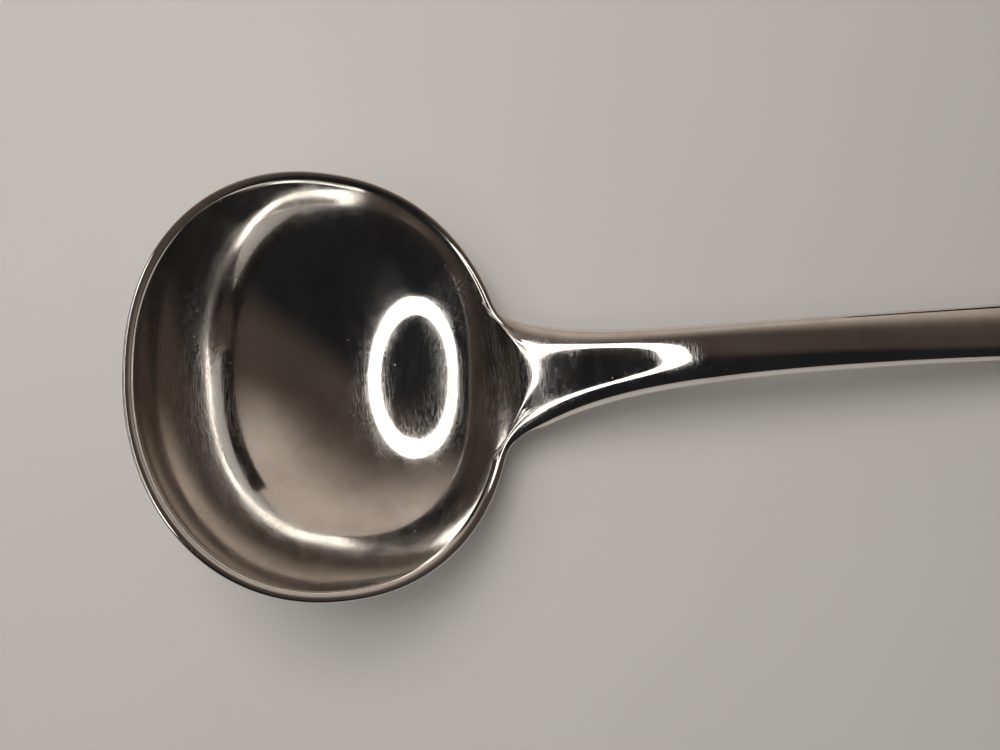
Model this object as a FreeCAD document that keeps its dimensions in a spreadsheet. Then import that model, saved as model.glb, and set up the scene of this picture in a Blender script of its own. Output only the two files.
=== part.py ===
import FreeCAD, Part
import Sketcher
import math
import os
from FreeCAD import Placement, Rotation, Vector

# A small ladle with an oval bowl, raised and forged from one piece of silver, in millimetres.
# It is first built with the rim of the bowl level, the middle of the rim at the origin and the
# stem along +X. The finished body is then tipped until the bowl and the end of the stem rest
# together on z = 0, with the middle of its overall size on the Z axis.

SIZES = {
    "bowl_half_length": (25.4, "inside of the rim along the stem, from the middle of the bowl"),
    "bowl_half_width": (28.8, "inside of the rim across the stem, from the middle of the bowl"),
    "bowl_depth": (17.0, "from the plane of the rim down to the inside of the bottom"),
    "bowl_lift": (9.15, "height of the middle of the bowl's round form above the rim"),
    "wall": (1.25, "thickness of the bowl"),
    "lip_round": (0.3, "rounding of the outer edge of the lip"),
    "root_gap": (1.25, "from the outside of the rim to the start of the stem's middle line"),
    "stem_length": (110.0, "along X, from the start of the middle line to the end"),
    "stem_rise": (16.93, "height won by the steep first stretch of the stem"),
    "stem_spring": (16.85, "length over which the steep first stretch flattens"),
    "stem_grade": (0.3725, "slope of the long stretch that follows"),
    "end_drop": (1.6, "how far the end is turned down"),
    "waist_width": (7.8, "width of the stem at its narrowest"),
    "shoulder_width": (8.4, "width that the shoulder adds at the start of the stem"),
    "shoulder_flare": (8.5, "length over which the shoulder narrows"),
    "end_width": (15.0, "width of the end of the stem"),
    "side_round": (2.0, "rounding of the stem's sides at the shoulder"),
    "end_side_round": (0.9, "rounding of the stem's sides at the end"),
    "crown": (1.2, "height of the stem's round top above its sides, at the shoulder"),
    "end_crown": (0.2, "height of the stem's round top above its sides, at the end"),
    "belly": (0.9, "depth of the stem's round underside below its sides, at the shoulder"),
    "end_belly": (0.2, "depth of the stem's round underside below its sides, at the end"),
    "tongue_cut": (0.55, "depth of the flat on the shoulder's top, at the bowl"),
    "tongue_length": (29.0, "along X, over which that flat fades out"),
    "heel_drop": (8.0, "how far the heel reaches below the rim"),
    "heel_reach": (10.0, "how far the heel reaches back from the outside of the rim"),
    "heel_width": (20.0, "width of the heel where it meets the rim"),
    "ridge_round": (1.2, "rounding of the ridge between the hollow and the shoulder"),
    "tip_round": (0.45, "rounding of the edges round the end of the stem"),
}

# Stations of the stem: distances along X close to the bowl, then shares of what is left.
SHOULDER = (0.0, 1.4, 3.2, 5.6, 9.0, 13.5, 19.0)
STRETCH = (0.08, 0.2, 0.36, 0.54, 0.72, 0.88, 1.0)

# Stations of the heel, from inside the wall to the rim: share of its reach, share of its drop, slope.
HEEL = ((1.0, 1.0, "34"), (0.55, 0.72, "42"), (0.12, 0.34, "50"))

# Height of the tool shape that cuts the flat, and its overhang past the sides.
CUTTER_HEIGHT = 6.0
CUTTER_OVERHANG = 2.0

# How far the stem is lofted past its end, and how far the outline that trims it there reaches.
OVERRUN = 3.0
TRIM_MARGIN = 6.0

LADLE = "ladle"


def sized(text):
    """Replace each {alias} by the sheet's cell of that name."""
    return text.format(**{alias: "Sizes." + alias for alias in SIZES})


def make_sheet(doc):
    """Put every driving dimension in the sheet, one row each: name, number, meaning."""
    sheet = doc.addObject("Spreadsheet::Sheet", "Sizes")
    for row, (alias, (value, meaning)) in enumerate(SIZES.items(), start=1):
        sheet.set(f"A{row}", alias)
        sheet.set(f"B{row}", str(value))
        sheet.set(f"C{row}", meaning)
        sheet.setAlias(f"B{row}", alias)
    doc.recompute()
    return sheet


def number(sheet, text):
    """The present value of an expression of the sheet's cells."""
    result = sheet.evalExpression(sized(text))
    return float(getattr(result, "Value", result))


# Laws of the stem, as expressions of the distance `at` from the start of its middle line.

def middle_x(at):
    return f"{{bowl_half_length}} + {{wall}} + {{root_gap}} + ({at})"


def middle_height(at):
    return (f"{{stem_rise}} * (1 - exp(-({at}) / {{stem_spring}})) + {{stem_grade}} * ({at})"
            f" - {{end_drop}} * (({at}) / {{stem_length}}) ^ 4")


def middle_slope(at):
    return (f"atan({{stem_rise}} / {{stem_spring}} * exp(-({at}) / {{stem_spring}}) + {{stem_grade}}"
            f" - 4 * {{end_drop}} / {{stem_length}} * (({at}) / {{stem_length}}) ^ 3)")


def width(at):
    return (f"{{waist_width}} + {{shoulder_width}} * exp(-({at}) / {{shoulder_flare}})"
            f" + ({{end_width}} - {{waist_width}}) * (({at}) / {{stem_length}}) ^ 4")


def tapered(first, last, at):
    return f"{{{first}}} + ({{{last}}} - {{{first}}}) * ({at}) / {{stem_length}}"


def stem_stations():
    """Every station of the stem, as the expressions of its place, slope and section."""
    distances = [f"{value}" for value in SHOULDER]
    last = SHOULDER[-1]
    distances += [f"{last} + {share} * ({{stem_length}} + {OVERRUN} - {last})" for share in STRETCH]
    return [
        {
            "x": middle_x(at),
            "z": middle_height(at),
            "slope": middle_slope(at),
            "width": width(at),
            "side": tapered("side_round", "end_side_round", at),
            "crown": tapered("crown", "end_crown", at),
            "belly": tapered("belly", "end_belly", at),
            "cut": f"{{tongue_cut}} * (1 - ({at}) / {{tongue_length}})",
        }
        for at in distances
    ]


def heel_stations():
    """Three stations that carry the stem's root back and down, until it is lost in the bowl's wall."""
    stations = []
    for share, drop, slope in HEEL:
        stations.append({
            "x": f"{{bowl_half_length}} + {{wall}} - {{heel_reach}} * {share}",
            "z": f"-{{heel_drop}} * {drop}",
            "slope": slope,
            "width": "{heel_width}",
            "side": "{side_round}",
            "crown": "{crown}",
            "belly": "{belly}",
        })
    return stations


def plane(body, role):
    """One of the body's own origin planes."""
    return next(item for item in body.Origin.OriginFeatures if item.Role == role)


def station_sketch(body, name, station):
    """An empty sketch across the stem: its X runs across, its Y up and square to the middle line."""
    sketch = body.newObject("Sketcher::SketchObject", name)
    sketch.AttachmentSupport = [(plane(body, "YZ_Plane"), "")]
    sketch.MapMode = "FlatFace"
    sketch.AttachmentOffset = Placement(Vector(0, 0, 0), Rotation(Vector(1, 0, 0), -1))
    sketch.setExpression("AttachmentOffset.Base.y", sized(station["z"]))
    sketch.setExpression("AttachmentOffset.Base.z", sized(station["x"]))
    slope = station["slope"]
    turn = f"-{slope}" if slope.startswith("atan") else f"-{slope} * 1 deg"
    sketch.setExpression("AttachmentOffset.Rotation.Angle", sized(turn))
    return sketch


def arc(centre_x, centre_y, radius, first, last):
    circle = Part.Circle(Vector(centre_x, centre_y, 0), Vector(0, 0, 1), radius)
    return Part.ArcOfCircle(circle, first, last)


def cap_radius(station, rise):
    """Radius of the arc that bridges both side roundings and stands `rise` proud of them."""
    half = f"(({station['width']}) / 2 - ({station['side']}))"
    high = f"(({station['side']}) + ({station[rise]}))"
    return f"({half} ^ 2 + {high} ^ 2 - ({station['side']}) ^ 2) / (2 * ({station[rise]}))"


def oval_section(body, sheet, name, station):
    """A rounded section of four tangent arcs: round top, side, round underside, side."""
    sketch = station_sketch(body, name, station)
    side = number(sheet, station["side"])
    half = number(sheet, station["width"]) / 2 - side
    top = number(sheet, cap_radius(station, "crown"))
    bottom = number(sheet, cap_radius(station, "belly"))
    top_y = side + number(sheet, station["crown"]) - top
    bottom_y = bottom - side - number(sheet, station["belly"])
    top_turn = math.atan2(-top_y, half)
    bottom_turn = math.atan2(bottom_y, half)
    sketch.addGeometry(arc(0, top_y, top, top_turn, math.pi - top_turn))
    sketch.addGeometry(arc(-half, 0, side, math.pi - top_turn, math.pi + bottom_turn))
    sketch.addGeometry(arc(0, bottom_y, bottom, math.pi + bottom_turn, 2 * math.pi - bottom_turn))
    sketch.addGeometry(arc(half, 0, side, -bottom_turn, top_turn))
    for here, there in ((0, 1), (1, 2), (2, 3), (3, 0)):
        sketch.addConstraint(Sketcher.Constraint("Tangent", here, 2, there, 1))
    sketch.addConstraint(Sketcher.Constraint("PointOnObject", 1, 3, -1))
    sketch.addConstraint(Sketcher.Constraint("PointOnObject", 3, 3, -1))
    sketch.addConstraint(Sketcher.Constraint("Equal", 1, 3))
    sketch.addConstraint(Sketcher.Constraint("PointOnObject", 0, 3, -2))
    across = f"({station['width']}) / 2 - ({station['side']})"
    bound = (
        (Sketcher.Constraint("Radius", 3, side), station["side"]),
        (Sketcher.Constraint("DistanceX", -1, 1, 3, 3, half), across),
        (Sketcher.Constraint("Radius", 0, top), cap_radius(station, "crown")),
        (Sketcher.Constraint("Radius", 2, bottom), cap_radius(station, "belly")),
    )
    for constraint, text in bound:
        index = sketch.addConstraint(constraint)
        sketch.setExpression(f"Constraints[{index}]", sized(text))
    return sketch


def cutter_section(body, sheet, name, station):
    """A rectangle above the stem whose lower side lies where the flat is to be."""
    sketch = station_sketch(body, name, station)
    reach = f"({station['width']}) / 2 + {CUTTER_OVERHANG}"
    floor = f"({station['side']}) + ({station['crown']}) - ({station['cut']})"
    right = number(sheet, reach)
    low = number(sheet, floor)
    high = low + CUTTER_HEIGHT
    corners = (
        Vector(-right, low, 0),
        Vector(right, low, 0),
        Vector(right, high, 0),
        Vector(-right, high, 0),
    )
    for index, corner in enumerate(corners):
        sketch.addGeometry(Part.LineSegment(corner, corners[(index + 1) % 4]))
    for here, there in ((0, 1), (1, 2), (2, 3), (3, 0)):
        sketch.addConstraint(Sketcher.Constraint("Coincident", here, 2, there, 1))
    for side, kind in ((1, "Vertical"), (2, "Horizontal"), (3, "Vertical")):
        sketch.addConstraint(Sketcher.Constraint(kind, side))
    sketch.addConstraint(Sketcher.Constraint("Symmetric", 0, 1, 0, 2, -2))
    bound = (
        (Sketcher.Constraint("DistanceX", -1, 1, 0, 2, right), reach),
        (Sketcher.Constraint("DistanceY", -1, 1, 0, 2, low), floor),
        (Sketcher.Constraint("DistanceY", 1, 1, 1, 2, CUTTER_HEIGHT), f"{CUTTER_HEIGHT}"),
    )
    for constraint, text in bound:
        index = sketch.addConstraint(constraint)
        sketch.setExpression(f"Constraints[{index}]", sized(text))
    return sketch


def bowl_form(body, kind, name, margin):
    """Part of an egg-round form under the rim; `margin` is the wall for the outside, 0 for the hollow."""
    form = body.newObject(kind, name)
    form.AttachmentSupport = [(plane(body, "XY_Plane"), "")]
    form.MapMode = "FlatFace"
    form.setExpression("AttachmentOffset.Base.z", sized("{bowl_lift}"))
    deep = f"({{bowl_depth}} + {margin} + {{bowl_lift}})"
    swell = f"sqrt(1 - ({{bowl_lift}} / {deep}) ^ 2)"
    form.setExpression("Radius1", sized(deep))
    form.setExpression("Radius2", sized(f"({{bowl_half_length}} + {margin}) / {swell}"))
    form.setExpression("Radius3", sized(f"({{bowl_half_width}} + {margin}) / {swell}"))
    form.Angle1 = -90
    form.Angle2 = 90
    form.Angle3 = 360
    return form, deep


def loft(body, kind, name, sections):
    feature = body.newObject(kind, name)
    feature.Profile = (sections[0], [""])
    feature.Sections = [(section, [""]) for section in sections[1:]]
    feature.Ruled = False
    feature.Closed = False
    return feature


def checked(doc):
    """Recompute and stop if any object failed."""
    doc.recompute()
    for item in doc.Objects:
        if "Invalid" in item.State or "Error" in item.State:
            raise RuntimeError(f"{item.Name} failed")


def check_bite(feature, before):
    """Stop if a cutting feature's tool missed the solid that it was to cut."""
    bite = feature.AddSubShape.common(before.Shape).Volume
    if bite < 0.5:
        raise RuntimeError(f"{feature.Name} removed only {bite:.3f}")
    return feature


def make_bowl(doc, body):
    """The solid outside of the bowl, cut off level at the rim, with the lip's outer edge rounded."""
    outside, deep = bowl_form(body, "PartDesign::AdditiveEllipsoid", "BowlOutside", "{wall}")
    outside.setExpression("Angle2", sized(f"-asin({{bowl_lift}} / {deep})"))
    checked(doc)
    rim = [f"Edge{index}" for index, edge in enumerate(outside.Shape.Edges, start=1)
           if edge.BoundBox.ZLength < 0.01 and edge.Length > 1]
    lip = body.newObject("PartDesign::Fillet", "LipRound")
    lip.Base = (outside, rim)
    lip.setExpression("Radius", sized("{lip_round}"))
    checked(doc)
    return lip


def make_stem(doc, body, sheet):
    """The stem with its shoulder and heel, lofted along the middle line, and the flat on its top."""
    stations = heel_stations() + stem_stations()
    sections = [oval_section(body, sheet, f"Section{index}", station)
                for index, station in enumerate(stations, start=1)]
    stem = loft(body, "PartDesign::AdditiveLoft", "Stem", sections)
    checked(doc)
    cutters = [cutter_section(body, sheet, f"Cutter{index}", station)
               for index, station in enumerate(stem_stations()[:9], start=1)]
    flat = loft(body, "PartDesign::SubtractiveLoft", "Tongue", cutters)
    checked(doc)
    return check_bite(flat, stem)


def make_hollow(doc, body, before):
    hollow, _ = bowl_form(body, "PartDesign::SubtractiveEllipsoid", "Hollow", "0")
    checked(doc)
    return check_bite(hollow, before)


def round_end(doc, body, sheet, before):
    """Trim the end of the stem to a half round, seen square to the rim's plane."""
    sketch = body.newObject("Sketcher::SketchObject", "EndOutline")
    sketch.AttachmentSupport = [(plane(body, "XY_Plane"), "")]
    sketch.MapMode = "FlatFace"
    centre = f"{middle_x('{stem_length}')} - {{end_width}} / 2"
    sketch.setExpression("AttachmentOffset.Base.x", sized(centre))
    checked(doc)
    radius = number(sheet, "{end_width}") / 2
    far = radius + TRIM_MARGIN
    sketch.addGeometry(arc(0, 0, radius, -math.pi / 2, math.pi / 2))
    corners = (Vector(0, radius, 0), Vector(0, far, 0), Vector(far, far, 0), Vector(far, -far, 0),
               Vector(0, -far, 0), Vector(0, -radius, 0))
    for first, second in zip(corners, corners[1:]):
        sketch.addGeometry(Part.LineSegment(first, second))
    sketch.addConstraint(Sketcher.Constraint("Coincident", 0, 3, -1, 1))
    sketch.addConstraint(Sketcher.Constraint("Coincident", 0, 2, 1, 1))
    for line in (1, 2, 3, 4):
        sketch.addConstraint(Sketcher.Constraint("Coincident", line, 2, line + 1, 1))
    sketch.addConstraint(Sketcher.Constraint("Coincident", 5, 2, 0, 1))
    sketch.addConstraint(Sketcher.Constraint("PointOnObject", 0, 1, -2))
    sketch.addConstraint(Sketcher.Constraint("PointOnObject", 0, 2, -2))
    for line, kind in ((1, "Vertical"), (2, "Horizontal"), (4, "Horizontal"), (5, "Vertical")):
        sketch.addConstraint(Sketcher.Constraint(kind, line))
    sketch.addConstraint(Sketcher.Constraint("Symmetric", 2, 2, 3, 2, -1))
    radius_at = sketch.addConstraint(Sketcher.Constraint("Radius", 0, radius))
    sketch.setExpression(f"Constraints[{radius_at}]", sized("{end_width} / 2"))
    sketch.addConstraint(Sketcher.Constraint("DistanceX", -1, 1, 2, 2, far))
    sketch.setExpression(f"Constraints[{radius_at + 1}]", sized(f"{{end_width}} / 2 + {TRIM_MARGIN}"))
    sketch.addConstraint(Sketcher.Constraint("DistanceY", -1, 1, 2, 2, far))
    sketch.setExpression(f"Constraints[{radius_at + 2}]", sized(f"{{end_width}} / 2 + {TRIM_MARGIN}"))
    checked(doc)
    trim = body.newObject("PartDesign::Pocket", "EndTrim")
    trim.Profile = sketch
    trim.Type = "ThroughAll"
    trim.Midplane = True
    checked(doc)
    return check_bite(trim, before)


def edges_where(shape, test):
    """Names of the edges, the poles of the bowl left out, that pass the test."""
    return [f"Edge{index}" for index, edge in enumerate(shape.Edges, start=1)
            if edge.Length > 0.1 and test(edge)]


def soften(doc, body, base, name, edges, size):
    """A fillet on the named edges."""
    fillet = body.newObject("PartDesign::Fillet", name)
    fillet.Base = (base, edges)
    fillet.setExpression("Radius", sized(size))
    checked(doc)
    return fillet


def soften_tip(doc, body, sheet, base):
    """Round the edges that the trimming left round the end of the stem."""
    centre = number(sheet, f"{middle_x('{stem_length}')} - {{end_width}} / 2")
    radius = number(sheet, "{end_width}") / 2

    def on_outline(edge):
        points = edge.discretize(5)
        return all(abs(math.hypot(point.x - centre, point.y) - radius) < 0.01 for point in points[1:-1])

    def flat_run(edge):
        return edge.BoundBox.ZLength < 0.6 * edge.Length

    edges = edges_where(base.Shape, lambda edge: on_outline(edge) and flat_run(edge))
    return soften(doc, body, base, "TipRound", edges, "{tip_round}")


def soften_ridge(doc, body, sheet, base):
    """Roll the wall of the hollow over into the shoulder's flat top."""
    rim = number(sheet, "{bowl_half_length}")

    def on_ridge(edge):
        box = edge.BoundBox
        return box.ZMin > 0.2 and box.XMax < rim + 2 and box.YLength > 2

    return soften(doc, body, base, "RidgeRound", edges_where(base.Shape, on_ridge), "{ridge_round}")


def lowest(points, turn):
    return min(point.z * math.cos(turn) - point.x * math.sin(turn) for point in points)


def rest_placement(sheet, shape):
    """Tip the body about Y until the bowl and the end of the stem touch the same level plane."""
    points, _ = shape.tessellate(0.02)
    middle = number(sheet, "{bowl_half_length} + {wall} + {stem_length} / 2")
    bowl = [point for point in points if point.x < middle]
    end = [point for point in points if point.x >= middle]
    low, high = 0.0, math.radians(60)
    for _ in range(40):
        turn = (low + high) / 2
        if lowest(end, turn) > lowest(bowl, turn):
            low = turn
        else:
            high = turn
    rotation = Rotation(Vector(0, 1, 0), math.degrees(turn))
    turned = [rotation.multVec(point) for point in points]
    first = min(point.x for point in turned)
    last = max(point.x for point in turned)
    return Placement(Vector(-(first + last) / 2, 0, -lowest(points, turn)), rotation)


def main():
    doc = FreeCAD.newDocument("Ladle")
    sheet = make_sheet(doc)
    body = doc.addObject("PartDesign::Body", "Ladle")
    body.Label = LADLE
    make_bowl(doc, body)
    stem = make_stem(doc, body, sheet)
    trim = round_end(doc, body, sheet, stem)
    tip = soften_tip(doc, body, sheet, trim)
    hollow = make_hollow(doc, body, tip)
    ridge = soften_ridge(doc, body, sheet, hollow)
    body.Placement = rest_placement(sheet, body.Shape)
    checked(doc)
    shape = body.Shape
    if shape.isNull() or not shape.isValid() or len(shape.Solids) != 1:
        raise RuntimeError("the ladle is not one valid solid")
    os.makedirs("parts", exist_ok=True)
    shape.exportStep(f"parts/{body.Label}.step")
    box = shape.optimalBoundingBox()
    print(f"{body.Label}: {box.XLength:.2f} x {box.YLength:.2f} x {box.ZLength:.2f} mm,"
          f" tipped {math.degrees(body.Placement.Rotation.Angle):.2f} degrees")


if __name__ == "__main__":
    main()
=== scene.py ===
import math

import bpy
import numpy as np
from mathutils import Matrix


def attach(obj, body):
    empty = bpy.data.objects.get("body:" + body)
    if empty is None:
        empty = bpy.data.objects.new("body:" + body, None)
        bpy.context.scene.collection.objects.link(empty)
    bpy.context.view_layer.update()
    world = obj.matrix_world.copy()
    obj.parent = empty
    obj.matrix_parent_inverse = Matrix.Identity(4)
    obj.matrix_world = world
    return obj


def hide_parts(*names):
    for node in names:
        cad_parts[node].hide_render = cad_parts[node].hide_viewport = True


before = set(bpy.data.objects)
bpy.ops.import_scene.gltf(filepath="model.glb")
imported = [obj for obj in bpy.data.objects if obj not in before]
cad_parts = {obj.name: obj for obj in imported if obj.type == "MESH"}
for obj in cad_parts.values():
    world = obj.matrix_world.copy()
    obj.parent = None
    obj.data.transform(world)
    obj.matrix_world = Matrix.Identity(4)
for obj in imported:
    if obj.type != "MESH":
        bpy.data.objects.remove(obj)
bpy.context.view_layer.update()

bl_info = {
    "name": "Sauce Ladle",
    "version": (1, 0, 0),
    "blender": (4, 5, 0),
    "location": "View3D > Sidebar > Ladle",
    "description": "A small silver ladle, its worn polish, and a plain table to show it on",
    "category": "Object",
}


# Sizes and colours

class LadleBowl(bpy.types.PropertyGroup):
    half_length: bpy.props.FloatProperty(
        name="Half length", description="Inside of the rim along the stem, from the middle",
        default=0.0254, unit="LENGTH")
    half_width: bpy.props.FloatProperty(
        name="Half width", description="Inside of the rim across the stem, from the middle",
        default=0.0288, unit="LENGTH")
    depth: bpy.props.FloatProperty(
        name="Depth", description="From the rim down to the inside of the bottom",
        default=0.0170, unit="LENGTH")
    lift: bpy.props.FloatProperty(
        name="Lift", description="Height of the middle of the round form above the rim",
        default=0.00915, unit="LENGTH")
    wall: bpy.props.FloatProperty(
        name="Wall", description="Thickness of the wall at the rim", default=0.001235, unit="LENGTH")
    squareness: bpy.props.FloatProperty(
        name="Squareness", description="Power of the rim's rounded oval, 2 for an ellipse", default=2.16)
    inner_round: bpy.props.FloatProperty(
        name="Inner rounding", description="Rounding of the lip's inner edge",
        default=0.0011, unit="LENGTH")
    outer_round: bpy.props.FloatProperty(
        name="Outer rounding", description="Rounding of the lip's outer edge",
        default=0.0003, unit="LENGTH")
    tilt: bpy.props.FloatProperty(
        name="Tilt", description="How far the rim leans towards the stem at rest",
        default=0.5131724, subtype="ANGLE")
    centre: bpy.props.FloatVectorProperty(
        name="Centre", description="Middle of the rim at rest",
        default=(-0.0622574, 0.0, 0.0196383), subtype="TRANSLATION")


class LadleStem(bpy.types.PropertyGroup):
    start: bpy.props.FloatProperty(
        name="Start", description="From the middle of the rim to the start of the stem's middle line",
        default=0.0279, unit="LENGTH")
    length: bpy.props.FloatProperty(
        name="Length", description="Length along the rim's plane", default=0.110, unit="LENGTH")
    rise: bpy.props.FloatProperty(
        name="Rise", description="Height won by the steep first stretch",
        default=0.01693, unit="LENGTH")
    spring: bpy.props.FloatProperty(
        name="Spring", description="Length over which that stretch flattens",
        default=0.01685, unit="LENGTH")
    grade: bpy.props.FloatProperty(
        name="Grade", description="Slope of the long stretch that follows", default=0.3725)
    drop: bpy.props.FloatProperty(
        name="Drop", description="How far the end is turned down", default=0.0016, unit="LENGTH")
    waist: bpy.props.FloatProperty(
        name="Waist", description="Width at the narrowest", default=0.0078, unit="LENGTH")
    shoulder: bpy.props.FloatProperty(
        name="Shoulder", description="Width that the shoulder adds at the start",
        default=0.0084, unit="LENGTH")
    flare: bpy.props.FloatProperty(
        name="Flare", description="Length over which the shoulder narrows", default=0.0085, unit="LENGTH")
    end: bpy.props.FloatProperty(
        name="End", description="Width of the end", default=0.015, unit="LENGTH")
    thickness: bpy.props.FloatVectorProperty(
        name="Half thickness", description="Half thickness at the shoulder and at the end",
        default=(0.00275, 0.00105), size=2, unit="LENGTH")
    crown: bpy.props.FloatVectorProperty(
        name="Crown",
        description="Share of the thickness above the widest line, at the shoulder and gained past it",
        default=(0.2, 0.42), size=2)
    crowning: bpy.props.FloatProperty(
        name="Crowning", description="Length over which the flat top of the shoulder turns round",
        default=0.0046, unit="LENGTH")
    corner: bpy.props.FloatVectorProperty(
        name="Corner", description="Powers of a section's upper and lower half, 2 for an ellipse",
        default=(2.6, 2.2), size=2)
    web: bpy.props.FloatVectorProperty(
        name="Web",
        description="What the web under the shoulder adds on each side, and how far on it fades",
        default=(0.0016, 0.0045), size=2, unit="LENGTH")


class LadleFinish(bpy.types.PropertyGroup):
    silver: bpy.props.FloatVectorProperty(
        name="Silver", description="Colour of the polished silver",
        default=(0.87, 0.84, 0.80), size=3, subtype="COLOR")
    tarnish: bpy.props.FloatVectorProperty(
        name="Tarnish", description="Colour of the thin brown tarnish",
        default=(0.52, 0.42, 0.32), size=3, subtype="COLOR")
    polish: bpy.props.FloatProperty(
        name="Polish", description="Roughness of the cleanest silver", default=0.045)
    haze: bpy.props.FloatProperty(
        name="Haze", description="Roughness that the soft haze of wear adds", default=0.035)
    scratching: bpy.props.FloatProperty(
        name="Scratching", description="Roughness that a scratch adds", default=0.17)
    pitting: bpy.props.FloatProperty(
        name="Pitting", description="Roughness that a pit adds", default=0.4)
    relief: bpy.props.FloatProperty(
        name="Relief", description="Depth of the full relief of ripples and scratches",
        default=0.0004, unit="LENGTH")


class LadleStage(bpy.types.PropertyGroup):
    table: bpy.props.FloatVectorProperty(
        name="Table", description="Colour of the table", default=(0.60, 0.575, 0.545), size=3,
        subtype="COLOR")
    room: bpy.props.FloatVectorProperty(
        name="Room", description="Colour of the dim room overhead", default=(0.068, 0.053, 0.044),
        size=3, subtype="COLOR")
    shade: bpy.props.FloatVectorProperty(
        name="Shade", description="Colour of the room's darkest side", default=(0.012, 0.012, 0.013),
        size=3, subtype="COLOR")
    wall: bpy.props.FloatVectorProperty(
        name="Wall", description="Colour of the room's pale far side, low down",
        default=(0.43, 0.36, 0.31), size=3, subtype="COLOR")
    lamp_centre: bpy.props.FloatVectorProperty(
        name="Lamp centre", description="Middle of the ring lamp", default=(-0.166, 0.026, 0.333),
        subtype="TRANSLATION")
    lamp_aim: bpy.props.FloatVectorProperty(
        name="Lamp aim", description="Point in the bowl that the ring lamp faces",
        default=(-0.0713, 0.0015, 0.0086), subtype="TRANSLATION")
    lamp_outer: bpy.props.FloatVectorProperty(
        name="Lamp outside", description="Half sizes of the ring's outer edge", default=(0.176, 0.223),
        size=2, unit="LENGTH")
    lamp_inner: bpy.props.FloatVectorProperty(
        name="Lamp inside", description="Half sizes of the ring's inner edge", default=(0.126, 0.157),
        size=2, unit="LENGTH")
    lamp_colour: bpy.props.FloatVectorProperty(
        name="Lamp colour", description="Colour of the ring lamp", default=(1.0, 0.97, 0.94), size=3,
        subtype="COLOR")
    lamp_glow: bpy.props.FloatProperty(
        name="Lamp glow", description="Brightness of the ring lamp", default=2.3)
    key_place: bpy.props.FloatVectorProperty(
        name="Key place", description="Where the soft lamp over the table stands",
        default=(-0.10, 0.08, 0.30), subtype="TRANSLATION")
    key_power: bpy.props.FloatProperty(
        name="Key power", description="Power of the soft lamp over the table",
        default=0.44, unit="POWER")
    key_size: bpy.props.FloatProperty(
        name="Key size", description="Width of the soft lamp over the table", default=0.20, unit="LENGTH")
    key_colour: bpy.props.FloatVectorProperty(
        name="Key colour", description="Colour of the soft lamp over the table",
        default=(1.0, 0.97, 0.93), size=3, subtype="COLOR")
    sky: bpy.props.FloatVectorProperty(
        name="Sky", description="Colour of the even light from all sides", default=(0.97, 0.98, 1.0),
        size=3, subtype="COLOR")
    surround: bpy.props.FloatProperty(
        name="Surround", description="Brightness of the even light from all sides", default=0.24)
    backdrop: bpy.props.FloatProperty(
        name="Backdrop", description="Brightness of the surround where it is seen", default=0.62)
    screen: bpy.props.FloatVectorProperty(
        name="Screen", description="Radius and height of the dark screen behind the stem",
        default=(0.2, 0.028), size=2, unit="LENGTH")
    screen_ends: bpy.props.FloatVectorProperty(
        name="Screen ends", description="Where the dark screen starts and stops, as turns about Z",
        default=(math.radians(-62), math.radians(42)), size=2, unit="ROTATION")
    screen_colour: bpy.props.FloatVectorProperty(
        name="Screen colour", description="Colour of the dark screen", default=(0.012, 0.010, 0.009),
        size=3, subtype="COLOR")
    camera_place: bpy.props.FloatVectorProperty(
        name="Camera place", description="Where the camera stands",
        default=(-0.0382114, -0.0229873, 0.1198603), subtype="TRANSLATION")
    camera_turn: bpy.props.FloatVectorProperty(
        name="Camera turn", description="The camera's turn about X, Y and Z",
        default=(0.2040621, 0.0383108, -0.0800916), subtype="EULER")
    lens: bpy.props.FloatProperty(
        name="Lens", description="Focal length in millimetres on a 36 mm wide sensor", default=27.25)


# The scene's property for each group of sizes and colours.
PROPERTY_GROUPS = {
    "ladle_bowl": LadleBowl,
    "ladle_stem": LadleStem,
    "ladle_finish": LadleFinish,
    "ladle_stage": LadleStage,
}

# Radius of the room round the origin, and how far from straight up its first ring of points lies.
ROOM_RADIUS = 0.9
ROOM_TOP = math.radians(2)

# The point on the stem's line that the dark screen curves about.
SCREEN_MIDDLE = -0.07

# Reach of the table each way, and how far it lies below the ladle.
TABLE_REACH = 1.6
TABLE_GAP = 0.00002

# Points on the stage's pieces: each way on the table, round the ring lamp, from the room's top to
# its foot and round it, and along the dark screen.
TABLE_POINTS = 9
RING_POINTS = 97
ROOM_POINTS = (24, 49)
SCREEN_POINTS = 41


# Surfaces

# Columns of the bowl's grid round its axis, and how many of them on each side of the stem's middle
# plane are left open for the shoulder.
COLUMNS = 240
HALF_OPENING = 19

# Rows of the bowl's grid: inside, up to the opening's foot and beside the opening; on the lip's
# inner and outer rounding; outside, beside the opening and down from its foot.
INSIDE_ROWS = (74, 6)
LIP_ROWS = (13, 9)
OUTSIDE_ROWS = (16, 53)

# Height of the opening's foot, inside and outside, and of the wall's highest row, just below the
# lip's rounding. The rim's plane is 0.
OPENING_FOOT = (-0.0022, -0.0082)
WALL_TOP = (-0.00074, -0.00060)

# Turn at which the wall's rows stop short of the bowl's axis, where a fan closes them.
POLE_TURN = 0.02

# How often the directions in which the shoulder leaves the bowl are averaged with their neighbours.
EASING = 80

# Angles from a section's top at which the spacing of its points changes: the flat top, the stretch
# that continues the lip's inner half, the side down to the widest line, and the belly.
SECTION_BANDS = (0.62, 1.02, math.pi / 2, 2.47)

# Rows of the outer wall that the section's side takes up besides the lip's outer rounding.
SIDE_ROWS = 3

# Greatest value of sin(t) (1 - cos(t)), which makes the web's width its true width.
WEB_PEAK = 1.3

# Powers by which the stem widens towards its end and by which its thickness holds to the tip.
WIDENING = 4
TIP_FULLNESS = 14

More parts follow.
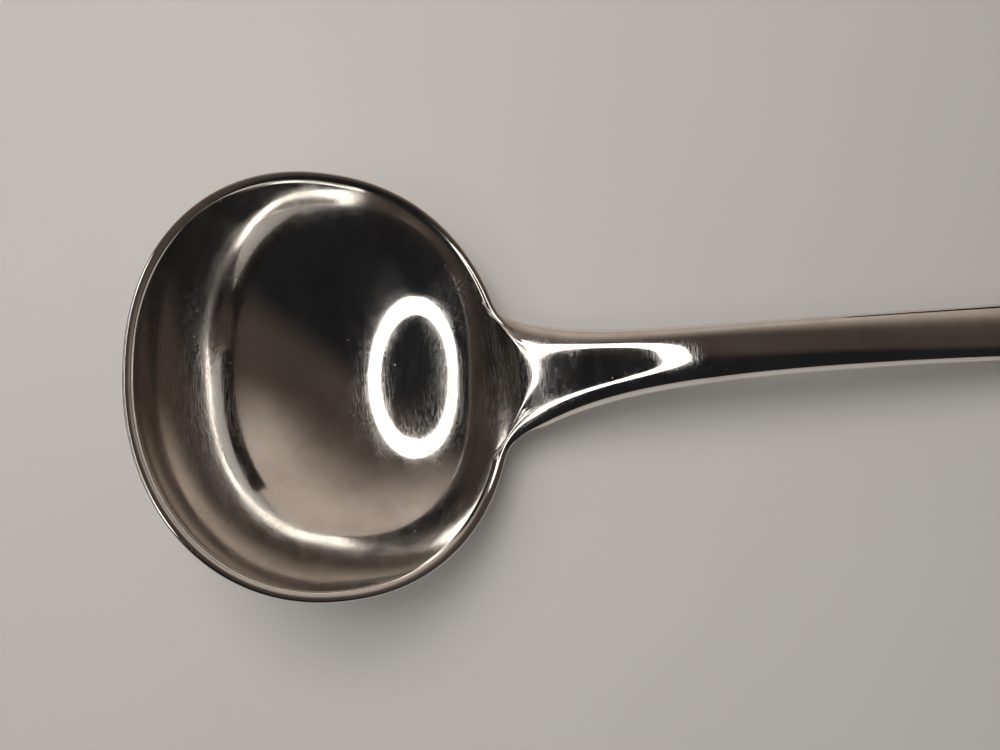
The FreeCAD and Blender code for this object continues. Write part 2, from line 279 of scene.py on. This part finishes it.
# Distance along the stem of its first section, and the small step for that section's derivatives.
FIRST_SECTION = 0.0032
SMALL_STEP = 0.0002

# Rings of points between the bowl and the first section, along the stem and over its round end, and
# how far round a quarter turn the last one lies.
BLEND_RINGS = 32
STEM_RINGS = 115
END_RINGS = 30
END_TURN = math.radians(89.2)


def oval_radius(azimuth, half_length, half_width, power):
    """Distance from the middle to a rounded oval at an angle: the power mean
    (|cos / half length|^power + |sin / half width|^power)^(-1 / power)."""
    along = np.abs(np.cos(azimuth) / half_length) ** power
    across = np.abs(np.sin(azimuth) / half_width) ** power
    return (along + across) ** (-1 / power)


def wall_rows(turn, azimuth, bowl, margin):
    """Distance from the bowl's axis and height of one side of its wall. With `turn` counted from the
    bottom, the height is lift - (depth + margin + lift) cos(turn), and the distance is the rim's oval
    times sin(turn) over its value at the rim. The oval is an ellipse at the bottom and rounded
    square towards the rim."""
    deep = bowl.depth + margin + bowl.lift
    rim_turn = math.acos(bowl.lift / deep)
    share = (np.sin(turn) / math.sin(rim_turn))[:, None]
    power = 2 + (bowl.squareness - 2) * share ** 2
    radius = oval_radius(azimuth[None, :], bowl.half_length + margin, bowl.half_width + margin, power)
    height = np.broadcast_to((bowl.lift - deep * np.cos(turn))[:, None], radius.shape)
    return radius * share, height


def turn_at(height, bowl, margin):
    """The turn at which one side of the wall reaches a height below the rim."""
    return np.arccos((bowl.lift - height) / (bowl.depth + margin + bowl.lift))


def lip_arc(azimuth, bowl, margin, size, rows):
    """Rounding of one edge of the lip, as an arc that touches the wall's slope and the level lip.
    Returns distances from the axis and heights, from the wall to the lip inside, the other way round
    outside."""
    deep = bowl.depth + margin + bowl.lift
    cosine = bowl.lift / deep
    radius = oval_radius(azimuth, bowl.half_length + margin, bowl.half_width + margin, bowl.squareness)
    lean = np.arctan(radius * cosine / (deep * (1 - cosine * cosine)))
    inside = margin == 0
    bend = math.pi / 2 - lean if inside else math.pi / 2 + lean
    reach = size * np.tan(bend / 2)
    centre = radius + reach if inside else radius - reach
    share = np.linspace(1, 0, rows)[:, None] if inside else np.linspace(0, 1, rows)[:, None]
    angle = math.pi / 2 + bend * share if inside else math.pi / 2 - bend * share
    return centre + size * np.cos(angle), -size + size * np.sin(angle)


def bowl_grid(bowl, columns):
    """The bowl as a grid of rows by columns. Each column is one profile at its azimuth: up the inside
    from near the bottom, over the lip and down the outside. Returns the points and the rows that
    others need: the opening's foot inside (top), the first of the outer rounding (lip), the first of
    the outer wall (under) and the opening's foot outside (bottom)."""
    azimuth = np.arange(columns) * 2 * math.pi / columns
    wall = bowl.wall
    foot_in, foot_out = OPENING_FOOT
    inside_low = np.linspace(POLE_TURN, float(turn_at(foot_in, bowl, 0.0)), INSIDE_ROWS[0])
    inside_high = turn_at(np.linspace(foot_in, WALL_TOP[0], INSIDE_ROWS[1] + 1)[1:], bowl, 0.0)
    outside_high = turn_at(np.linspace(WALL_TOP[1], foot_out, OUTSIDE_ROWS[0]), bowl, wall)
    outside_low = np.linspace(float(turn_at(foot_out, bowl, wall)), POLE_TURN, OUTSIDE_ROWS[1] + 1)[1:]
    inner = wall_rows(np.concatenate([inside_low, inside_high]), azimuth, bowl, 0.0)
    outer = wall_rows(np.concatenate([outside_high, outside_low]), azimuth, bowl, wall)
    edge_in = lip_arc(azimuth, bowl, 0.0, bowl.inner_round, LIP_ROWS[0])
    edge_out = lip_arc(azimuth, bowl, wall, bowl.outer_round, LIP_ROWS[1])
    bands = (inner, edge_in, edge_out, outer)
    radius = np.concatenate([band[0] for band in bands])
    height = np.concatenate([band[1] for band in bands])
    points = np.stack([radius * np.cos(azimuth), radius * np.sin(azimuth), height], axis=-1)
    top = INSIDE_ROWS[0] - 1
    lip = sum(INSIDE_ROWS) + LIP_ROWS[0]
    under = lip + LIP_ROWS[1]
    return points, {"top": top, "lip": lip, "under": under, "bottom": under + OUTSIDE_ROWS[0] - 1}


def stem_line(along, stem):
    """Middle line of the stem: rise (1 - exp(-s / spring)) + grade s - drop (s / length)^4 above the
    rim's plane, and its slope, the derivative of that."""
    share = along / stem.length
    fall = np.exp(-along / stem.spring)
    height = stem.rise * (1 - fall) + stem.grade * along - stem.drop * share ** 4
    slope = stem.rise / stem.spring * fall + stem.grade - 4 * stem.drop / stem.length * share ** 3
    return stem.start + along, height, np.arctan(slope)


def stem_sections(along, stem, counts):
    """Sections across the stem, one closed loop of points at each distance along it. The counts are
    of points on the top, on each strip, side and belly, and underneath. A section is a flattened oval
    (1 - s^corner)^(1 / corner) above the widest line and another below. Close to the bowl a web widens
    the lower part by sin(t) (1 - cos(t)), with t the angle from the top. Past the start of the round
    end a section narrows as sqrt(1 - p^2), with p the share of the end's radius, and keeps its
    thickness almost to the tip."""
    top, strip, side, belly, under = counts
    share = along / stem.length
    past = np.clip(1 + (along - stem.length) / (stem.end / 2), 0, 1)
    half = 0.5 * (stem.waist + stem.shoulder * np.exp(-along / stem.flare)
                  + (stem.end - stem.waist) * share ** WIDENING)
    thick = stem.thickness[0] + (stem.thickness[1] - stem.thickness[0]) * share
    crown = 2 * thick * (stem.crown[0] + stem.crown[1] * (1 - np.exp(-along / stem.crowning)))
    web = stem.web[0] * np.exp(-along / stem.web[1])
    narrow = np.sqrt(1 - past ** 2)
    shallow = np.sqrt(1 - past ** TIP_FULLNESS)

    starts = (0, *SECTION_BANDS)
    stops = (*SECTION_BANDS, math.pi)
    steps = (top // 2, strip, side, belly, under // 2)
    angle = np.concatenate([[0.0]] + [
        np.linspace(start, stop, step + 1)[1:] for start, stop, step in zip(starts, stops, steps)])
    upper = angle <= math.pi / 2
    power = np.where(upper, stem.corner[0], stem.corner[1])
    reach = np.clip(np.sin(angle), 0, 1)
    rise = np.where(upper, 1, -1) * (1 - reach ** power) ** (1 / power)
    level = np.where(upper, crown[:, None], (2 * thick - crown)[:, None])
    across = half[:, None] * reach + web[:, None] * reach * (1 - np.cos(angle)) / WEB_PEAK
    up = ((thick - crown)[:, None] + level * rise) * shallow[:, None]
    across = across * narrow[:, None]
    last = len(angle) - 1
    crest = top // 2
    order = np.concatenate([np.arange(crest, 0, -1), np.arange(0, last), np.arange(last, crest, -1)])
    sign = np.concatenate([np.ones(crest), -np.ones(last), np.ones(last - crest)])
    across = across[:, order] * sign
    up = up[:, order]
    x, z, slope = stem_line(along, stem)
    return np.stack([
        x[:, None] - up * np.sin(slope)[:, None],
        across,
        z[:, None] + up * np.cos(slope)[:, None],
    ], axis=-1)


def unit(vectors):
    """Each vector over its own length."""
    return vectors / np.linalg.norm(vectors, axis=-1, keepdims=True)


def bridge(start, finish, share):
    """Quintic from start to finish, each given as place, first and second derivative."""
    t = share[:, None, None]
    flip = 1 - t
    return (start[0] * (flip ** 3 * (1 + 3 * t + 6 * t ** 2))
            + start[1] * (t * flip ** 3 * (1 + 3 * t))
            + start[2] * (t ** 2 * flip ** 3 / 2)
            + finish[0] * (t ** 3 * (1 + 3 * flip + 6 * flip ** 2))
            - finish[1] * (flip * t ** 3 * (1 + 3 * flip))
            + finish[2] * (flip ** 2 * t ** 3 / 2))


def quads(ids):
    """Four-sided faces of a grid of point numbers."""
    return np.stack([ids[:-1, :-1], ids[1:, :-1], ids[1:, 1:], ids[:-1, 1:]], axis=-1).reshape(-1, 4)


def fan(ring, middle):
    """Three-sided faces from each side of a ring to its middle."""
    return np.stack([ring, np.roll(ring, -1), np.full(len(ring), middle)], axis=-1)


def opening_edge(points, rows, half_opening):
    """The edge of the opening where the shoulder leaves the bowl's grid, as one loop: along the
    inside, down one side across the lip, along the outside and back up the other side. Returns the
    loop's rows and columns, its places, and the directions and bends in which the grid's own lines
    run out over it, the directions eased round the corners and laid in the surface."""
    columns = points.shape[1]
    spread = np.arange(-half_opening, half_opening + 1) % columns
    down = np.arange(rows["top"] + 1, rows["bottom"])
    at_row = np.concatenate([
        np.full(len(spread), rows["top"]), down, np.full(len(spread), rows["bottom"]), down[::-1]])
    at_column = np.concatenate([
        spread[::-1], np.full(len(down), spread[0]), spread, np.full(len(down), spread[-1])])
    step = np.concatenate([
        np.tile([[-1, 0]], (len(spread), 1)), np.tile([[0, -1]], (len(down), 1)),
        np.tile([[1, 0]], (len(spread), 1)), np.tile([[0, 1]], (len(down), 1))])
    first = points[at_row, at_column]
    second = points[at_row + step[:, 0], (at_column + step[:, 1]) % columns]
    third = points[at_row + 2 * step[:, 0], (at_column + 2 * step[:, 1]) % columns]
    down_grid = np.gradient(points, axis=0)
    round_grid = np.roll(points, -1, axis=1) - np.roll(points, 1, axis=1)
    normal = unit(np.cross(down_grid, round_grid)[at_row, at_column])
    heading = unit(first - second)
    for _ in range(EASING):
        heading = np.roll(heading, 1, 0) + 2 * heading + np.roll(heading, -1, 0)
        heading = unit(heading - normal * np.sum(heading * normal, axis=-1, keepdims=True))
    bend = (first - 2 * second + third) / np.sum((first - second) ** 2, axis=-1, keepdims=True)
    bend = normal * np.sum(bend * normal, axis=-1, keepdims=True)
    return at_row, at_column, first, heading, bend


def ladle_surface(bowl, stem):
    """The whole ladle as one closed skin. The bowl's grid is left open where the shoulder starts,
    and a quintic carries each point on the edge of that opening into the stem's first section, with
    the slopes and bends of both."""
    points, rows = bowl_grid(bowl, COLUMNS)
    count = len(points)
    numbers = np.arange(count * COLUMNS).reshape(count, COLUMNS)
    top, bottom = rows["top"], rows["bottom"]
    at_row, at_column, edge, heading, bend = opening_edge(points, rows, HALF_OPENING)

    strip = rows["lip"] - top
    side = rows["under"] - rows["lip"] + SIDE_ROWS
    belly = bottom - top - strip - side
    counts = (2 * HALF_OPENING, strip, side, belly, 2 * HALF_OPENING)
    end = stem.end / 2
    stations = np.concatenate([
        np.linspace(FIRST_SECTION, stem.length - end, STEM_RINGS + 1)[:-1],
        stem.length - end + end * np.sin(np.linspace(0, END_TURN, END_RINGS)),
    ])
    sections = stem_sections(stations, stem, counts)
    near = FIRST_SECTION + SMALL_STEP * np.array([-1, 0, 1])
    before, here, after = stem_sections(near, stem, counts)
    slope = (after - before) / (2 * SMALL_STEP)
    curve = (after - 2 * here + before) / SMALL_STEP ** 2
    length = np.linalg.norm(here - edge, axis=-1, keepdims=True)
    pace = length / np.linalg.norm(slope, axis=-1, keepdims=True)
    blend = bridge(
        (edge, heading * length, bend * length ** 2),
        (here, slope * pace, curve * pace ** 2),
        np.linspace(0, 1, BLEND_RINGS + 2)[1:-1])

    tube = np.concatenate([blend, sections])
    tube_numbers = numbers.size + np.arange(tube.shape[0] * tube.shape[1]).reshape(tube.shape[:2])
    loops = np.concatenate([numbers[at_row, at_column][None], tube_numbers])
    loops = np.concatenate([loops, loops[:, :1]], axis=1)
    closed = np.concatenate([numbers, numbers[:, :1]], axis=1)
    bowl_faces = quads(closed).reshape(count - 1, COLUMNS, 4)
    keep = np.ones((count - 1, COLUMNS), bool)
    keep[top:bottom, np.arange(-HALF_OPENING, HALF_OPENING)] = False
    poles = np.array([[0, 0, -bowl.depth], [0, 0, -bowl.depth - bowl.wall], tube[-1].mean(axis=0)])
    extra = numbers.size + tube_numbers.size + np.arange(3)
    vertices = np.concatenate([points.reshape(-1, 3), tube.reshape(-1, 3), poles])
    faces = np.concatenate([bowl_faces[keep], quads(loops)[:, ::-1]])
    caps = np.concatenate([
        fan(numbers[0], extra[0]), fan(numbers[-1][::-1], extra[1]), fan(tube_numbers[-1], extra[2]),
    ])
    return vertices, faces, caps


def rest_frame(points, bowl):
    """Tip points from the level rim's frame into the resting frame: a turn about Y, then a shift."""
    cosine, sine = math.cos(bowl.tilt), math.sin(bowl.tilt)
    turn = np.array([[cosine, 0, sine], [0, 1, 0], [-sine, 0, cosine]])
    return points @ turn.T + np.array(bowl.centre)


def enclosed(vertices, triangles):
    """Volume inside a closed skin, the sum of its triangles' signed tetrahedra."""
    a, b, c = (vertices[triangles[:, index]] for index in range(3))
    return float(np.einsum("ij,ij->i", a, np.cross(b, c)).sum() / 6)


def mesh_object(name, vertices, faces, caps=None):
    """A mesh object of four-sided faces and three-sided caps, smooth, without loose points."""
    corners = faces.reshape(-1)
    sizes = np.full(len(faces), 4)
    if caps is not None:
        corners = np.concatenate([corners, caps.reshape(-1)])
        sizes = np.concatenate([sizes, np.full(len(caps), 3)])
    used, corners = np.unique(corners, return_inverse=True)
    mesh = bpy.data.meshes.new(name)
    mesh.vertices.add(len(used))
    mesh.vertices.foreach_set("co", vertices[used].astype(np.float32).ravel())
    mesh.loops.add(len(corners))
    mesh.loops.foreach_set("vertex_index", corners.astype(np.int32))
    mesh.polygons.add(len(sizes))
    mesh.polygons.foreach_set("loop_start", (np.cumsum(sizes) - sizes).astype(np.int32))
    mesh.polygons.foreach_set("use_smooth", np.ones(len(sizes), bool))
    mesh.update(calc_edges=True)
    mesh.validate()
    obj = bpy.data.objects.new(name, mesh)
    bpy.context.scene.collection.objects.link(obj)
    return obj


def sheet_object(name, grid):
    """A mesh object of one open grid of points."""
    ids = np.arange(grid.shape[0] * grid.shape[1]).reshape(grid.shape[:2])
    return mesh_object(name, grid.reshape(-1, 3), quads(ids))


# Shader maths

# Sockets of the Mix node that carry its two colours, and the one that gives the mixed colour.
MIX_COLOURS = (6, 7)
MIX_RESULT = 2


class Signal:
    """A number or vector in a shader, with the operators of ordinary arithmetic."""

    def __init__(self, shader, socket):
        self.shader = shader
        self.socket = socket

    def maths(self, operation, *others, clamp=False):
        """One operation on this signal and the others, in that order."""
        node = self.shader.node("ShaderNodeMath", {"operation": operation, "use_clamp": clamp},
                                dict(enumerate((self, *others))))
        return Signal(self.shader, node.outputs[0])

    def __add__(self, other):
        return self.maths("ADD", other)

    def __radd__(self, other):
        return self.maths("ADD", other)

    def __sub__(self, other):
        return self.maths("SUBTRACT", other)

    def __rsub__(self, other):
        node = self.shader.node("ShaderNodeMath", {"operation": "SUBTRACT"}, {0: other, 1: self})
        return Signal(self.shader, node.outputs[0])

    def __mul__(self, other):
        return self.maths("MULTIPLY", other)

    def __rmul__(self, other):
        return self.maths("MULTIPLY", other)

    def __truediv__(self, other):
        return self.maths("DIVIDE", other)

    def clamped(self):
        """The nearest value from 0 to 1."""
        return self.maths("ADD", 0.0, clamp=True)

    def between(self, low, high):
        """0 below low, 1 above high, smooth between."""
        node = self.shader.node("ShaderNodeMapRange", {"interpolation_type": "SMOOTHSTEP"},
                                {"Value": self, "From Min": low, "From Max": high})
        return Signal(self.shader, node.outputs["Result"])


class Shader:
    """A material's or the world's node tree."""

    def __init__(self, owner):
        owner.use_nodes = True
        self.tree = owner.node_tree
        self.tree.nodes.clear()

    def node(self, kind, settings=None, inputs=None):
        """One node: its settings first, then the values or links of its sockets."""
        node = self.tree.nodes.new(kind)
        for name, value in (settings or {}).items():
            setattr(node, name, value)
        for name, value in (inputs or {}).items():
            socket = node.inputs[name]
            if isinstance(value, Signal):
                self.tree.links.new(value.socket, socket)
            else:
                socket.default_value = value
        return node

    def signal(self, kind, settings=None, inputs=None, output=0):
        """One output of a new node."""
        return Signal(self, self.node(kind, settings, inputs).outputs[output])

    def place(self):
        """The place on the object, in metres."""
        return self.signal("ShaderNodeTexCoord", output="Object")

    def turned(self, place, turn, stretch):
        """The place turned about its axes and stretched along them."""
        return self.signal("ShaderNodeMapping", {}, {"Vector": place, "Rotation": turn, "Scale": stretch})

    def noise(self, place, scale, detail=2.0, roughness=0.5, distortion=0.0):
        """Cloudy noise from 0 to 1, with `scale` clouds to the metre."""
        return self.signal("ShaderNodeTexNoise", {}, {
            "Vector": place, "Scale": scale, "Detail": detail, "Roughness": roughness,
            "Distortion": distortion}, output="Fac")

    def mixed(self, factor, first, second):
        """Colour between the first, at factor 0, and the second, at factor 1."""
        node = self.tree.nodes.new("ShaderNodeMix")
        node.data_type = "RGBA"
        sockets = (node.inputs["Factor"], *(node.inputs[index] for index in MIX_COLOURS))
        for socket, value in zip(sockets, (factor, first, second)):
            if isinstance(value, Signal):
                self.tree.links.new(value.socket, socket)
            else:
                socket.default_value = value
        return Signal(self, node.outputs[MIX_RESULT])


def opaque(colour, factor=1.0):
    """The colour times the factor, with full alpha."""
    return (colour[0] * factor, colour[1] * factor, colour[2] * factor, 1.0)


# Stretch and scale of the coarser noise that breaks the scratches into short lengths.
PATCH_STRETCH = (900, 300, 900)
PATCH_SCALE = 0.16


def hairlines(shader, place, turn, spacing, length, thin):
    """Fine straight scratches in one direction: noise stretched along them, cut to thin ridges, and
    broken into short lengths by a coarser noise."""
    lined = shader.turned(place, turn, (1 / spacing, 1 / length, 1 / spacing))
    grain = shader.noise(lined, 1.0, detail=1.0, distortion=0.15)
    ridge = 1 - ((grain - 0.5).maths("ABSOLUTE") / thin).clamped()
    patch = shader.noise(shader.turned(place, turn, PATCH_STRETCH), PATCH_SCALE, detail=2.0)
    return ridge * patch.between(0.45, 0.62)


# Directions of the scratches: the turn of the lines, their spacing, length and thinness.
SCRATCHES = (
    ((0.2, 0.5, 0.35), 0.00022, 0.0060, 0.030),
    ((0.1, 0.45, 1.25), 0.00020, 0.0070, 0.030),
    ((0.6, 0.40, 2.20), 0.00026, 0.0120, 0.030),
    ((0.3, 0.55, 2.85), 0.00018, 0.0070, 0.035),
)

# The fine lines left by rubbing, in the same terms.
RUBBING = ((0.4, 0.5, 0.9), 0.00009, 0.0040, 0.10)


def silver_material(finish):
    """Old polished silver: fine scratches in several directions, a soft haze of wear, small pits
    and a thin warm tarnish."""
    material = bpy.data.materials.new("worn silver")
    shader = Shader(material)
    place = shader.place()
    cloud = shader.noise(place, 55, detail=5, roughness=0.6)
    blotch = shader.noise(place, 190, detail=4, roughness=0.55)
    ripple = shader.noise(place, 160, detail=1, roughness=0.4)
    grain = shader.noise(place, 1500, detail=2, roughness=0.6)
    first, *others = [hairlines(shader, place, *direction) for direction in SCRATCHES]
    scratches = sum(others, first).clamped()
    rub = hairlines(shader, place, *RUBBING)
    cells = shader.signal("ShaderNodeTexVoronoi", {}, {"Vector": place, "Scale": 620, "Randomness": 1.0},
                          output="Distance")
    pits = (1 - cells.between(0.03, 0.10)) * blotch.between(0.50, 0.62)
    haze = cloud.between(0.40, 0.72)

    tarnish = (blotch * 0.5 + cloud * 0.5).between(0.46, 0.72) * 0.45
    colour = shader.mixed(tarnish, opaque(finish.silver), opaque(finish.tarnish))
    colour = shader.mixed((pits * 0.8).clamped(), colour, opaque(finish.tarnish, 0.45))
    roughness = (finish.polish + finish.haze * haze + finish.scratching * scratches
                 + 0.02 * rub + finish.pitting * pits).clamped()
    relief = ripple * 0.10 + grain * 0.045 - 0.012 * scratches - 0.002 * rub - 0.16 * pits
    bump = shader.node("ShaderNodeBump", {}, {
        "Strength": 0.12, "Distance": finish.relief, "Height": relief})
    surface = shader.node("ShaderNodeBsdfPrincipled", {}, {
        "Base Color": colour, "Metallic": 1.0, "Roughness": roughness,
        "Normal": Signal(shader, bump.outputs[0])})
    shader.node("ShaderNodeOutputMaterial", {}, {"Surface": Signal(shader, surface.outputs[0])})
    return material


def table_material(stage):
    """Plain pale table, with only the faintest mottling."""
    material = bpy.data.materials.new("pale table")
    shader = Shader(material)
    cloud = shader.noise(shader.place(), 9, detail=3)
    colour = shader.mixed(cloud.between(0.2, 0.8), opaque(stage.table, 0.97), opaque(stage.table, 1.03))
    surface = shader.node("ShaderNodeBsdfPrincipled", {}, {"Base Color": colour, "Roughness": 0.65})
    shader.node("ShaderNodeOutputMaterial", {}, {"Surface": Signal(shader, surface.outputs[0])})
    return material


def glow_material(name, colour, strength):
    """An even glow."""
    material = bpy.data.materials.new(name)
    shader = Shader(material)
    glow = shader.node("ShaderNodeEmission", {}, {"Color": opaque(colour), "Strength": strength})
    shader.node("ShaderNodeOutputMaterial", {}, {"Surface": Signal(shader, glow.outputs[0])})
    return material


# Operators

class LADLE_OT_ladle(bpy.types.Operator):
    """Make the ladle's skin and its worn silver"""
    bl_idname = "ladle.ladle"
    bl_label = "Ladle"

    def execute(self, context):
        scene = context.scene
        vertices, faces, caps = ladle_surface(scene.ladle_bowl, scene.ladle_stem)
        vertices = rest_frame(vertices, scene.ladle_bowl)
        triangles = np.concatenate([faces[:, [0, 1, 2]], faces[:, [0, 2, 3]], caps])
        if enclosed(vertices, triangles) <= 0:
            raise RuntimeError("the ladle's skin is inside out")
        ladle = mesh_object("silver_ladle", vertices, faces, caps)
        ladle.data.materials.append(silver_material(scene.ladle_finish))
        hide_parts("ladle")
        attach(ladle, "root")
        return {"FINISHED"}


class LADLE_OT_stage(bpy.types.Operator):
    """Make the table, the lamps and the camera"""
    bl_idname = "ladle.stage"
    bl_label = "Stage"

    def execute(self, context):
        scene = context.scene
        stage = scene.ladle_stage
        make_table(stage)
        make_ring_lamp(stage)
        make_room(stage)
        make_dark_screen(stage)
        make_key_lamp(stage)
        make_world(stage)
        make_camera(scene, stage)
        return {"FINISHED"}


def make_table(stage):
    """A level square just below the ladle's lowest point."""
    side = np.linspace(-TABLE_REACH, TABLE_REACH, TABLE_POINTS)
    x, y = np.meshgrid(side, side, indexing="ij")
    table = sheet_object("table", np.stack([x, y, np.full_like(x, -TABLE_GAP)], axis=-1))
    table.data.materials.append(table_material(stage))


def make_ring_lamp(stage):
    """A flat ring between two ovals, square to the line from it to the bowl."""
    centre = np.array(stage.lamp_centre)
    facing = unit(np.array(stage.lamp_aim) - centre)
    along = unit(np.cross([0, 1, 0], -facing))
    across = np.cross(-facing, along)
    angle = np.linspace(0, 2 * math.pi, RING_POINTS)[:, None]
    rims = [centre + half[0] * np.cos(angle) * along + half[1] * np.sin(angle) * across
            for half in (stage.lamp_inner, stage.lamp_outer)]
    ring = sheet_object("ring_lamp", np.stack(rims))
    ring.data.materials.append(glow_material("ring light", stage.lamp_colour, stage.lamp_glow))
    ring.visible_camera = False


def make_room(stage):
    """A dim half sphere round the table that only the silver reflects."""
    turn = np.linspace(ROOM_TOP, math.pi / 2, ROOM_POINTS[0])[:, None]
    angle = np.linspace(0, 2 * math.pi, ROOM_POINTS[1])[None, :]
    x = ROOM_RADIUS * np.sin(turn) * np.cos(angle)
    y = ROOM_RADIUS * np.sin(turn) * np.sin(angle)
    z = ROOM_RADIUS * np.cos(turn) + 0 * angle
    room = sheet_object("dim_room", np.stack([x, y, z], axis=-1))
    room.data.materials.append(room_material(stage))
    show_in_mirrors_only(room)


def make_dark_screen(stage):
    """A low curved screen on the table behind the stem, about a point in the bowl. It keeps the far
    edge of the table out of the bowl's reflections."""
    radius, top = stage.screen
    angle = np.linspace(*stage.screen_ends, SCREEN_POINTS)[None, :]
    height = np.array([0.0, top])[:, None]
    x = SCREEN_MIDDLE + radius * np.cos(angle) + 0 * height
    y = radius * np.sin(angle) + 0 * height
    screen = sheet_object("dark_screen", np.stack([x, y, height + 0 * angle], axis=-1))
    screen.data.materials.append(glow_material("dark screen", stage.screen_colour, 1.0))
    show_in_mirrors_only(screen)


def show_in_mirrors_only(obj):
    """Hide a piece of the stage from all but what mirrors it."""
    obj.visible_camera = False
    obj.visible_diffuse = False
    obj.visible_shadow = False
    obj.visible_transmission = False


def room_material(stage):
    """Glow of the dim room by direction from the ladle: near black on the camera's own side, brown
    overhead, and pale and warm low down on the far side."""
    material = bpy.data.materials.new("dim room")
    shader = Shader(material)
    place = shader.place()
    x, y, z = (shader.signal("ShaderNodeSeparateXYZ", {}, {"Vector": place}, output=index) / ROOM_RADIUS
               for index in range(3))
    cloud = shader.noise(place, 2.6, detail=2)
    far = (y + 0.25 * x).between(0.30, 0.75) * (1 - z.between(0.30, 0.88))
    over = (y + 0.6 * x).between(-0.02, 0.36)
    colour = shader.mixed(over * 0.8, opaque(stage.shade), opaque(stage.room))
    colour = shader.mixed(far, colour, opaque(stage.wall))
    level = 0.7 + 0.6 * cloud
    glow = shader.node("ShaderNodeEmission", {}, {"Color": colour, "Strength": level})
    shader.node("ShaderNodeOutputMaterial", {}, {"Surface": Signal(shader, glow.outputs[0])})
    return material


def make_key_lamp(stage):
    """A soft round lamp above the far left of the table, facing down. It lights the table and gives
    the ladle's soft shadow; the silver doesn't mirror it."""
    light = bpy.data.lights.new("key_lamp", "AREA")
    light.shape = "DISK"
    light.size = stage.key_size
    light.energy = stage.key_power
    light.color = stage.key_colour
    lamp = bpy.data.objects.new("key_lamp", light)
    lamp.location = stage.key_place
    lamp.visible_glossy = False
    bpy.context.scene.collection.objects.link(lamp)


def make_world(stage):
    """An even surround, seen paler than the light it gives."""
    world = bpy.data.worlds.new("studio")
    bpy.context.scene.world = world
    shader = Shader(world)
    rays = [shader.signal("ShaderNodeLightPath", output=name)
            for name in ("Is Camera Ray", "Is Glossy Ray", "Is Transmission Ray")]
    seen = (rays[0] + rays[1] + rays[2]).clamped()
    level = stage.surround + (stage.backdrop - stage.surround) * seen
    surround = shader.node("ShaderNodeBackground", {}, {"Color": opaque(stage.sky), "Strength": level})
    shader.node("ShaderNodeOutputWorld", {}, {"Surface": Signal(shader, surround.outputs[0])})


def make_camera(scene, stage):
    """The camera at the photograph's viewing angle."""
    camera = bpy.data.cameras.new("camera")
    camera.lens = stage.lens
    camera.sensor_width = 36.0
    camera.clip_start = 0.001
    obj = bpy.data.objects.new("camera", camera)
    obj.location = stage.camera_place
    obj.rotation_euler = stage.camera_turn
    scene.collection.objects.link(obj)
    scene.camera = obj
    scene.view_settings.view_transform = "Standard"


class LADLE_PT_panel(bpy.types.Panel):
    """The ladle's operators and sizes"""
    bl_idname = "LADLE_PT_panel"
    bl_label = "Sauce Ladle"
    bl_space_type = "VIEW_3D"
    bl_region_type = "UI"
    bl_category = "Ladle"

    def draw(self, context):
        layout = self.layout
        for operator in OPERATORS:
            layout.operator(operator.bl_idname)
        for name, group in PROPERTY_GROUPS.items():
            box = layout.box()
            for key in group.__annotations__:
                box.prop(getattr(context.scene, name), key)


OPERATORS = (LADLE_OT_ladle, LADLE_OT_stage)
CLASSES = (*PROPERTY_GROUPS.values(), *OPERATORS, LADLE_PT_panel)


def register():
    for item in CLASSES:
        bpy.utils.register_class(item)
    for name, group in PROPERTY_GROUPS.items():
        setattr(bpy.types.Scene, name, bpy.props.PointerProperty(type=group))


def unregister():
    for name in PROPERTY_GROUPS:
        delattr(bpy.types.Scene, name)
    for item in reversed(CLASSES):
        bpy.utils.unregister_class(item)


def main():
    register()
    bpy.ops.ladle.ladle()
    bpy.ops.ladle.stage()


if __name__ == "__main__":
    main()
